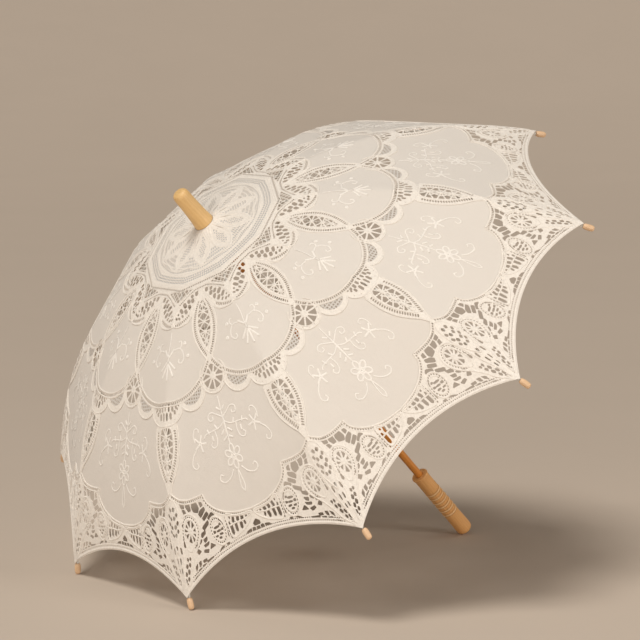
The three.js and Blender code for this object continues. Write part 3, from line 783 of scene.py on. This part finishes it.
def draw_medallion(d):
    """Medallion round the ferrule: ten petals on the panels' middle lines, a net band, and cords."""
    def decagon(r_mid, bulge=0.0):
        t = np.linspace(-HALF, HALF, 16)
        r = r_mid / np.cos(t) * (1 - bulge * (1 - np.cos(t * 5)))
        p = np.stack([r * np.cos(t), r * np.sin(t)], 1)
        return mid(p[t <= .02])

    def petal(w, r0, r1):
        s = np.linspace(0, 1, 24)
        return np.stack([r0 + (r1 - r0) * s, -w * np.sin(math.pi * s**1.35) ** .8], 1)
    outer, inner = petal(.03, .036, .17), petal(.0165, .05, .15)
    holes = []
    for i, x in enumerate(np.arange(.064, .144, .0084)):
        reach = -np.interp(x, inner[:, 0], inner[:, 1]) - .004
        for y in np.arange(.0036 * (i % 2) + .0004, reach, .0072):
            holes.append(mid(slot(x, -y, .0054, .005, 20 * (-1) ** i)))
    for i, r in enumerate(np.arange(.056, .174, .013)):
        edge = HALF - math.asin(min(1, (-np.interp(r, outer[:, 0], outer[:, 1]) + .0052) / r))
        turn = .0066 / r
        for t in np.arange(turn * .5 * (i % 2) + 1e-4, edge, turn):
            holes.append(slot(r * math.cos(t), r * math.sin(t), .01, .0038, math.degrees(t)))
    holes += dots(decagon(.183, .06), .0066, .0034, .0044)
    for x in (.199, .2072, .2154):
        holes += dots(decagon(x, .02), .0082, .005, .0048)
    shape = np.vstack([[(.034, 0.0)], mid([(.034, .005), (.23, .014), (.23, -.0747)])])
    d.solids.append((shape, holes, []))
    for path, w in ((outer, .008), (inner, .004)):
        d.tape(mid(path[1:]), w, .0026)
    for r, b, w in ((.1755, .09, .006), (.1905, .05, .005), (.224, 0.0, .0046), (.23, 0.0, .004)):
        d.tape(decagon(r, b), w, .0024)
    d.tape([(.042, 0.0), (.1, 0.0)], .005, .003, mirror=False)


def draw_cloth(d):
    """The petal, half of the panel, and the net backing under the medallion, in a grey that is painted
    shade.
    """
    edge_in = [(.362, 0.0), (.363, .013), (.361, .034), (.352, .053), (.338, .0615)]
    low = mid(lens_curve(.268, .4925, .0415, 30) * [1, -1])
    low = low[low[:, 0] > .334]
    petal_cloth = np.vstack([edge_in, low[:-1], polar(PETAL_C, np.linspace(74, 0, 34),
                                                      np.full(34, PETAL_R + .002))])
    d.cloth.append((petal_cloth, 'join', 'cloth'))
    angles = np.concatenate([np.linspace(13.5, 20.8, 8), np.linspace(21.2, 53.5, 22)])
    scallops = polar(PETAL_C, angles, scallop_radius(angles) + .002)
    wheel_edge = mid(arc(.53, 0.0, .045, -75, 0, 14))
    panel = np.vstack([scallops, wheel_edge, mid([(.8425, 0.0)]), mid(offset(PANEL_ARCH[:-8], -.003))[::-1],
                       mid(offset(PANEL_RIM, -.003))[::-1], (LENS_SIDE * [1, .93])[::-1]])
    d.cloth.append((panel, True, 'cloth'))
    t = np.linspace(0, HALF, 10)
    ring_out = np.array([mid([(.231 / math.cos(HALF - a) * math.cos(-(HALF - a)),
                               .231 / math.cos(HALF - a) * math.sin(-(HALF - a)))])[0] for a in t])
    ring_in = np.stack([.0155 * np.cos(t), .0155 * np.sin(t)], 1)
    d.cloth.append((np.vstack([ring_in, ring_out[::-1]]), 'wedge', 'gauze'))


def draw_panel_spray(d):
    """Raised embroidery on the outer panel."""
    def flower(cx, cy, r, k, turn, w=.0044, loops=True, frame=mid):
        for i in range(k):
            t = TAU * (i + turn) / k
            ux, uy = math.cos(t), math.sin(t)
            if loops:
                e = ellipse(cx + ux * r * .66, cy + uy * r * .66, r * .4, r * .27, math.degrees(t), 12)
                d.stitch(frame(e), w, closed=True)
            else:
                d.stitch(frame([(cx + ux * r * .22, cy + uy * r * .22), (cx + ux * r, cy + uy * r)]),
                         w * 1.2)
        d.stitch(frame(ellipse(cx, cy, r * .16, r * .16, 0, 8)), w, closed=True)
    flower(.73, 0.0, .0265, 6, 0.0)
    flower(.676, -.096, .021, 5, .1, loops=False)
    stem = [
        [(.585, 0.0), (.62, 0.0), (.66, -.001), (.7, 0.0)],
        [(.648, 0.0), (.658, -.02), (.66, -.045), (.662, -.07), (.668, -.078)],
        [(.638, 0.0), (.628, -.016), (.618, -.034), (.624, -.048), (.636, -.045),
         (.636, -.034), (.628, -.034)],
        [(.66, -.038), (.678, -.036), (.694, -.042), (.698, -.054), (.69, -.06),
         (.684, -.054)],
        [(.67, -.112), (.652, -.112), (.64, -.102), (.642, -.092), (.65, -.092)],
        [(.686, -.114), (.698, -.13), (.716, -.14), (.726, -.132), (.722, -.122),
         (.714, -.124)],
        [(.756, -.014), (.77, -.03), (.776, -.052), (.768, -.066), (.758, -.06),
         (.762, -.052)],
        [(.759, 0.0), (.776, -.004), (.796, -.006), (.806, 0.0)],
    ]
    for s in stem:
        d.stitch(mid(spline(s, 5)), .0036)
    for a, b in (((.62, -.004), (.61, -.014)), ((.666, -.006), (.676, -.018)),
                 ((.684, -.004), (.69, -.016)), ((.66, -.028), (.648, -.034)),
                 ((.664, -.058), (.652, -.062)), ((.67, -.05), (.682, -.05))):
        d.stitch(mid([a, b]), .0052, .002)


def draw_petal_spray(d):
    """Raised embroidery on the petal."""
    d.tape(spline([(.38, 0), (.41, .002), (.44, 0), (.466, 0)], 6), .0034, .0014, .0002, False, False,
           'stitch')
    d.tape([(.47, 0), (.516, 0)], .0062, .0018, .0002, False, False, 'stitch')
    for a, b in (((.474, .003), (.506, .021)), ((.466, .004), (.486, .028)), ((.452, .002), (.43, .018))):
        d.stitch([a, b], .006, .0018)
    for a in ((.414, .054), (.45, .07)):
        d.stitch(ellipse(a[0], a[1], .0034, .0034, 0, 8), .0056, .0022, closed=True)
    d.stitch(spline([(.433, .02), (.428, .036), (.438, .05), (.456, .056), (.47, .048), (.466, .038),
                     (.458, .04)], 5), .0042)
    d.stitch(spline([(.43, .038), (.418, .044), (.408, .04), (.41, .032)], 5), .004)


def draw_sector():
    """All of one sector, in the order that its pieces are made."""
    d = Drawing()
    for draw in (draw_leaf_ring, draw_scallops, draw_rib_lens, draw_border, draw_medallion, draw_cloth,
                 draw_panel_spray, draw_petal_spray):
        draw(d)
    return d


# ---- from drawing to mesh ---------------------------------------------------------------
EASE = 0.0035      # half-width of the rounded fold over a rib
GATHER_IN, GATHER_OUT = 0.030, 0.085     # the cloth rises to the ferrule between these radii
GATHER_RISE = 0.0046                     # metres
RELIEF = 0.72      # how far cords stand up, as a share of their drawn height
SAME_POINT, SAME_CORNER = 1e-5, 1e-4     # nearer points on a cord or an outline count as one, units of R


def dome(g):
    """Canopy height, metres, at a plan radius along a rib, in units of R."""
    return R * (DOME_A + DOME_B - DOME_A * g**2 - DOME_B * g**4)


def surface(x, y):
    """Canopy height, metres, over a plan point in a rib's frame, in units of R."""
    rise = np.clip((GATHER_OUT - np.hypot(x, y)) / (GATHER_OUT - GATHER_IN), 0, 1)
    fold = (np.sqrt(y * y + EASE * EASE) - EASE * 0.5) * T18
    return dome(x + fold) + GATHER_RISE * rise * rise * (3 - 2 * rise)


def lift(p):
    """Plan points with their height above the cloth, units of R, to metres in the rib's frame."""
    x, y, h = p[:, 0], p[:, 1], p[:, 2]
    e = 1e-3
    z = surface(x, y)
    dx = (surface(x + e, y) - surface(x - e, y)) / (2 * e * R)
    dy = (surface(x, y + e) - surface(x, y - e)) / (2 * e * R)
    n = np.stack([-dx, -dy, np.ones_like(dx)], 1)
    n /= np.linalg.norm(n, axis=1)[:, None]
    return np.stack([x * R, y * R, z], 1) + n * (h * R)[:, None]


SECTIONS = {
    'tape': [(-.5, 0), (-.36, .72), (0, 1), (.36, .72), (.5, 0), (0, -.35)],
    'thread': [(-.5, 0), (0, .5), (.5, 0), (0, -.5)],
    'knot': [(-.5, 0), (-.3, .8), (.3, .8), (.5, 0), (0, -.4)],
    'stitch': [(-.5, -.1), (-.3, .8), (.3, .8), (.5, -.1)],
}


def sweep(kind, path, w, h, up, closed):
    """Vertices and faces of a cord swept along a plan path."""
    p = spaced(path, SAME_POINT)
    if closed and np.linalg.norm(p[0] - p[-1]) < SAME_POINT:
        p = p[:-1]
    if len(p) < 2:
        return None
    n = normals(p, closed)
    sec = np.array(SECTIONS[kind])
    m, k = len(p), len(sec)
    xy = p[:, None] + n[:, None] * (sec[None, :, :1] * w)
    z = np.broadcast_to((up + sec[:, 1] * h * RELIEF)[None], (m, k))
    verts = np.concatenate([xy, z[..., None]], 2).reshape(-1, 3)
    i = np.arange(m if closed else m - 1)[:, None]
    j = np.arange(k)[None]
    i1, j1 = (i + 1) % m, (j + 1) % k
    faces = np.stack([i * k + j, i1 * k + j, i1 * k + j1, i * k + j1], 2).reshape(-1, 4).tolist()
    if not closed:
        faces.append(list(range(k)))
        faces.append(list(range((m - 1) * k + k - 1, (m - 1) * k - 1, -1)))
    return verts, faces


def add_to(bm, verts, faces, mat):
    """Adds a mesh; a face that is there already is left out."""
    vs = [bm.verts.new(v) for v in verts]
    for f in faces:
        try:
            bm.faces.new([vs[i] for i in f]).material_index = mat
        except ValueError:
            pass


def clip(bm, point, normal):
    """Cuts away what lies on the normal's side of a plane."""
    bmesh.ops.bisect_plane(bm, geom=bm.verts[:] + bm.edges[:] + bm.faces[:], dist=1e-7, plane_co=point,
                           plane_no=normal, clear_outer=True)


def wedge_cut(bm):
    """Keeps what lies between the middle lines of the panels on either side of the rib."""
    clip(bm, (0, 0, 0), (-S18, C18, 0))
    clip(bm, (0, 0, 0), (-S18, -C18, 0))


def zone_cut(bm, lo, hi):
    """Keeps what lies between two distances along the rib."""
    clip(bm, (lo, 0, 0), (-1, 0, 0))
    clip(bm, (hi, 0, 0), (1, 0, 0))


def filled(poly, pitch):
    """A polygon as triangles with a regular grid of points inside."""
    poly = spaced(poly, SAME_CORNER)
    if np.linalg.norm(poly[0] - poly[-1]) < SAME_CORNER:
        poly = poly[:-1]
    dense = []
    for a, b in zip(poly, np.roll(poly, -1, 0)):
        n = max(1, int(np.ceil(np.linalg.norm(b - a) / pitch)))
        dense.extend(a + (b - a) * i / n for i in range(n))
    dense = np.array(dense)
    lo, hi = dense.min(0), dense.max(0)
    gx = np.arange(lo[0] + pitch / 2, hi[0], pitch)
    gy = np.arange(lo[1] + pitch / 2, hi[1], pitch)
    g = np.stack(np.meshgrid(gx, gy), -1).reshape(-1, 2)
    g[:, 0] += np.where(np.round((g[:, 1] - lo[1]) / pitch) % 2 > 0, pitch / 4, -pitch / 4)
    g = g[inside(dense, g)]
    far = np.sqrt(((g[:, None] - dense[None]) ** 2).sum(-1)).min(1) > pitch * 0.45 if len(g) else []
    g = g[far] if len(g) else g
    pts = [Vector(p) for p in np.vstack([dense, g])]
    out = delaunay_2d_cdt(pts, [], [list(range(len(dense)))], 1, 1e-6)
    return np.array([tuple(v) for v in out[0]]), [list(f) for f in out[2]]


def solid_lace(outline, holes, whole, pitch=0.02, top=0.0009, under=0.0009):
    """Close-worked lace: a flat plan shape mirrored about the rib, with its openings, given a thickness."""
    half = np.asarray(outline, float)
    poly = spaced(np.vstack([half, (half * [1, -1])[::-1]]), SAME_CORNER)
    gaps = list(whole) + [h * [1, s] for h in holes for s in (1, -1)]
    pts, faces = [Vector(p) for p in poly], [list(range(len(poly)))]
    for g in gaps:
        faces.append(list(range(len(pts), len(pts) + len(g))))
        pts += [Vector(p) for p in g]
    lo, hi = poly.min(0), poly.max(0)
    g = np.meshgrid(np.arange(lo[0], hi[0], pitch), np.arange(lo[1], hi[1], pitch))
    g = np.stack(g, -1).reshape(-1, 2)
    g = g[inside(poly, g)]
    pts += [Vector(p) for p in g]
    out = delaunay_2d_cdt(pts, [], faces, 1, 1e-5)
    v = np.array([tuple(p) for p in out[0]])
    tri = np.array([list(f) for f in out[2]])
    mid_tri = v[tri].mean(1)
    open_ = ~inside(poly, mid_tri)
    for g in gaps:
        near = np.flatnonzero(((mid_tri >= g.min(0)) & (mid_tri <= g.max(0))).all(1))
        open_[near] |= inside(g, mid_tri[near])
    tri = tri[~open_].tolist()
    edges = {}
    for f in tri:
        for a, b in zip(f, f[1:] + f[:1]):
            edges[(a, b)] = 1
    n = len(v)
    verts = np.vstack([np.column_stack([v, np.full(n, top)]), np.column_stack([v, np.full(n, -under)])])
    made = tri + [[i + n for i in f[::-1]] for f in tri]
    made += [[b, a, a + n, b + n] for a, b in edges if (b, a) not in edges]
    used = sorted({i for f in made for i in f})
    where = {i: k for k, i in enumerate(used)}
    return verts[used], [[where[i] for i in f] for f in made]


# ---- the ten sectors ----------------------------------------------------------------------
# Each sector is cut into rings, each made as a piece of its own on the rib.
RINGS = [0.0, 0.2432, 0.4300, 0.5600, 0.6900, 0.8170, 1.0200]
NAMES = ["medallion", "leaf_ring", "petal", "scallop", "panel", "border"]


drawing = draw_sector()
lace = bmesh.new()
MAT_OF = {'tape': 0, 'thread': 1, 'knot': 1, 'stitch': 2}     # places in LACE_MATS
NET = 3
LACE_MATS = (TAPE_MAT, THREAD_MAT, STITCH_MAT, NET_MAT)
CLOTH_DROP = -0.0004       # cloth and nets lie this far under the lace, units of R
CLOTH_PITCH = 0.011        # spacing of the points inside a piece of cloth, units of R
NET_PITCH, NET_THREAD, NET_TURN = 0.0086, 0.0034, 8.0
for kind, path, w, h, up, closed, mirror in drawing.strokes:
    for side in ((1, -1) if mirror else (1,)):
        made = sweep(kind, path * [1, side], w, h, up, closed)
        if made is None:
            continue
        verts, faces = made
        if side < 0:
            faces = [f[::-1] for f in faces]
        add_to(lace, verts, faces, MAT_OF[kind])
for outline, holes, whole in drawing.solids:
    verts, faces = solid_lace(outline, holes, whole)
    add_to(lace, verts, faces, 0)
wedge_cut(lace)
cloth = bmesh.new()
for poly, how, kind in drawing.cloth:
    if kind == 'net':
        continue
    if how == 'join':
        whole = np.vstack([poly, (poly * [1, -1])[::-1]])
        v, f = filled(whole, CLOTH_PITCH)
        add_to(cloth, np.column_stack([v, np.full(len(v), CLOTH_DROP)]), f, 0)
    else:
        for side in (1, -1):
            v, f = filled(poly * [1, side], CLOTH_PITCH)
            flat = np.column_stack([v, np.full(len(v), CLOTH_DROP)])
            add_to(cloth, flat, f, 1 if kind == 'gauze' else 0)
wedge_cut(cloth)
bmesh.ops.remove_doubles(cloth, verts=cloth.verts[:], dist=2e-5)
for poly, how, kind in drawing.cloth:
    if kind == 'net':
        net = Drawing()
        net.net(poly, NET_PITCH, NET_THREAD, NET_TURN)
        for _, path, w, h, up, closed, mirror in net.strokes:
            for side in (1, -1):
                verts, faces = sweep('thread', path * [1, side], w, h, CLOTH_DROP, False)
                add_to(lace, verts, faces if side > 0 else [f[::-1] for f in faces], NET)


def template(bm, lo, hi):
    """The part of a flat sector between two distances along the rib, as a mesh, or None."""
    part = bm.copy()
    zone_cut(part, lo, hi)
    if not part.faces:
        part.free()
        return None
    bmesh.ops.recalc_face_normals(part, faces=part.faces[:])
    me = bpy.data.meshes.new("template")
    part.to_mesh(me)
    part.free()
    me.polygons.foreach_set("use_smooth", np.ones(len(me.polygons), bool))
    me.set_sharp_from_angle(angle=math.radians(55))
    return me


def place(me, k, name, mats, body):
    """A copy of a sector's mesh, set on rib k."""
    me = me.copy()
    co = np.empty(len(me.vertices) * 3)
    me.vertices.foreach_get("co", co)
    co = co.reshape(-1, 3)
    plan = co * R + [0, k * PATTERN_SHIFT, 0]
    plan_data = me.attributes.new(PLAN, "FLOAT_VECTOR", "POINT").data
    plan_data.foreach_set("vector", plan.astype(np.float32).ravel())
    p = lift(co)
    t = rib_angle(k)
    c, s = math.cos(t), math.sin(t)
    q = np.stack([p[:, 0] * c - p[:, 1] * s, p[:, 0] * s + p[:, 1] * c, p[:, 2]], 1)
    me.vertices.foreach_set("co", to_row(q).ravel())
    me.update()
    for m in mats:
        me.materials.append(m)
    ob = bpy.data.objects.new(name, me)
    scene.collection.objects.link(ob)
    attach(ob, body)
    return ob


UNROLL_AT = np.linspace(0.0, 1.3, 1301)      # distance along a panel's middle line, units of R
UNROLL_STEP = np.hypot(np.diff(UNROLL_AT) * R, np.diff(dome(UNROLL_AT / C18)))
UNROLL_TO = np.append(0.0, np.cumsum(UNROLL_STEP))     # the same distance over the curved cloth, metres


def flat_size(plan):
    """Area, width and length, in metres, of the cut for a ring of one sector, worked out from its plan.

    Half a sector bends only along its panel's middle line, so it unrolls flat: distance along that line
    becomes arc length, and distance across it stays. The finished piece of cloth isn't measured here.
    """
    half = bmesh.new()
    half.from_mesh(plan)
    clip(half, (0, 0, 0), (0, -1, 0))
    for v in half.verts:
        x, y = v.co.x, v.co.y
        along = float(np.interp(x * C18 + y * S18, UNROLL_AT, UNROLL_TO))
        across = (y * C18 - x * S18) * R
        v.co = (along * C18 - across * S18, along * S18 + across * C18, 0.0)
    area = 2 * sum(f.calc_area() for f in half.faces)
    length = max(v.co.x for v in half.verts) - min(v.co.x for v in half.verts)
    width = 2 * max(v.co.y for v in half.verts)
    half.free()
    return round(area, 6), round(width, 4), round(length, 4)


PATTERN_SHIFT = 1.7        # metres; sectors take their weave from different places in the pattern

rings = list(zip(RINGS[:-1], RINGS[1:], NAMES))
lace_parts = [template(lace, lo, hi) for lo, hi, _ in rings]
cloth_parts = [template(cloth, lo, hi) for lo, hi, _ in rings]
cuts = [flat_size(part) if part else None for part in cloth_parts]
for k in range(1, RIBS + 1):
    body = f"rib_{k:02d}"
    for (lo, hi, ring), lace_me, cloth_me, cut in zip(rings, lace_parts, cloth_parts, cuts):
        made = []
        if lace_me:
            made.append(place(lace_me, k, f"lace_{ring}_{k:02d}", LACE_MATS, body))
        if cloth_me:
            sheet = place(cloth_me, k, f"cloth_{ring}_{k:02d}", (CLOTH_MAT, GAUZE_MAT), body)
            area, width, length = cut
            made.append(sheet)
        for ob in made:
            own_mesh(ob)
        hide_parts(f"canopy_{k:02d}")


# ---- floor and light ------------------------------------------------------------------------
def floor_material():
    m = Nodes("studio_floor")
    v = m.coords()
    n = m.noise(v, 2.2, 4.0)
    col = m.mix(m.math("MULTIPLY", n, 0.5), (0.53, 0.44, 0.355), (0.48, 0.40, 0.32))
    return m.finish(col, 0.9, m.bump(m.noise(v, 160.0, 3.0), 0.12, 0.001))


FLOOR_Z = -0.0005                           # metres, just under the parasol
STUDIO_FLOOR, STUDIO_BEND = 6.5, 14.0       # radius of the flat floor and of its bend into the wall, metres
STUDIO_WALL = 16.0                          # height, metres


def backdrop():
    """A round studio: flat floor that bends up into a wall on every side."""
    bend = np.linspace(0, math.pi / 2, 16)
    line = [(r, 0.0) for r in np.linspace(0.6, STUDIO_FLOOR, 12)]
    line += [(STUDIO_FLOOR + STUDIO_BEND * math.sin(t), STUDIO_BEND * (1 - math.cos(t))) for t in bend[1:]]
    line.append((STUDIO_FLOOR + STUDIO_BEND, STUDIO_WALL))
    steps = 72
    turn = [TAU * i / steps for i in range(steps)]
    verts = [(0, 0, FLOOR_Z)]
    for r, z in line:
        verts += [(r * math.cos(t), r * math.sin(t), z + FLOOR_Z) for t in turn]
    faces = [(0, 1 + i, 1 + (i + 1) % steps) for i in range(steps)]
    for k in range(len(line) - 1):
        a, b = 1 + k * steps, 1 + (k + 1) * steps
        faces += [(a + i, b + i, b + (i + 1) % steps, a + (i + 1) % steps) for i in range(steps)]
    me = bpy.data.meshes.new("studio_floor")
    me.from_pydata(verts, [], faces)
    me.polygons.foreach_set("use_smooth", [True] * len(faces))
    me.materials.append(floor_material())
    ob = bpy.data.objects.new("studio_floor", me)
    scene.collection.objects.link(ob)


backdrop()
MIDDLE = Vector((0.05, 0.0, 0.27))          # where the lights point
SUN_SPREAD = math.radians(22)               # a wide sun, for soft shadows


def light(name, kind, place_, power, colour):
    """A light that points at the parasol's middle."""
    data = bpy.data.lights.new(name, kind)
    data.energy, data.color = power, colour
    ob = bpy.data.objects.new(name, data)
    ob.location = place_
    ob.rotation_euler = (MIDDLE - Vector(place_)).to_track_quat("-Z", "Y").to_euler()
    scene.collection.objects.link(ob)
    return data


light("key", "SUN", (1.15, 0.2, 3.0), 2.2, (1.0, 0.975, 0.94)).angle = SUN_SPREAD
for name, place_, power, colour, width in (
        ("fill", (2.9, 1.5, 0.9), 37, (1.0, 0.985, 0.965), 2.0),
        ("side", (-0.7, 3.0, 1.1), 30, (1.0, 0.98, 0.96), 1.2)):
    soft = light(name, "AREA", place_, power, colour)
    soft.shape, soft.size = "DISK", width
world = bpy.data.worlds.new("studio")
world.use_nodes = True
background = world.node_tree.nodes["Background"].inputs
background["Color"].default_value = (0.95, 0.94, 0.92, 1)
background["Strength"].default_value = 0.05
scene.world = world
scene.view_settings.view_transform = "Standard"
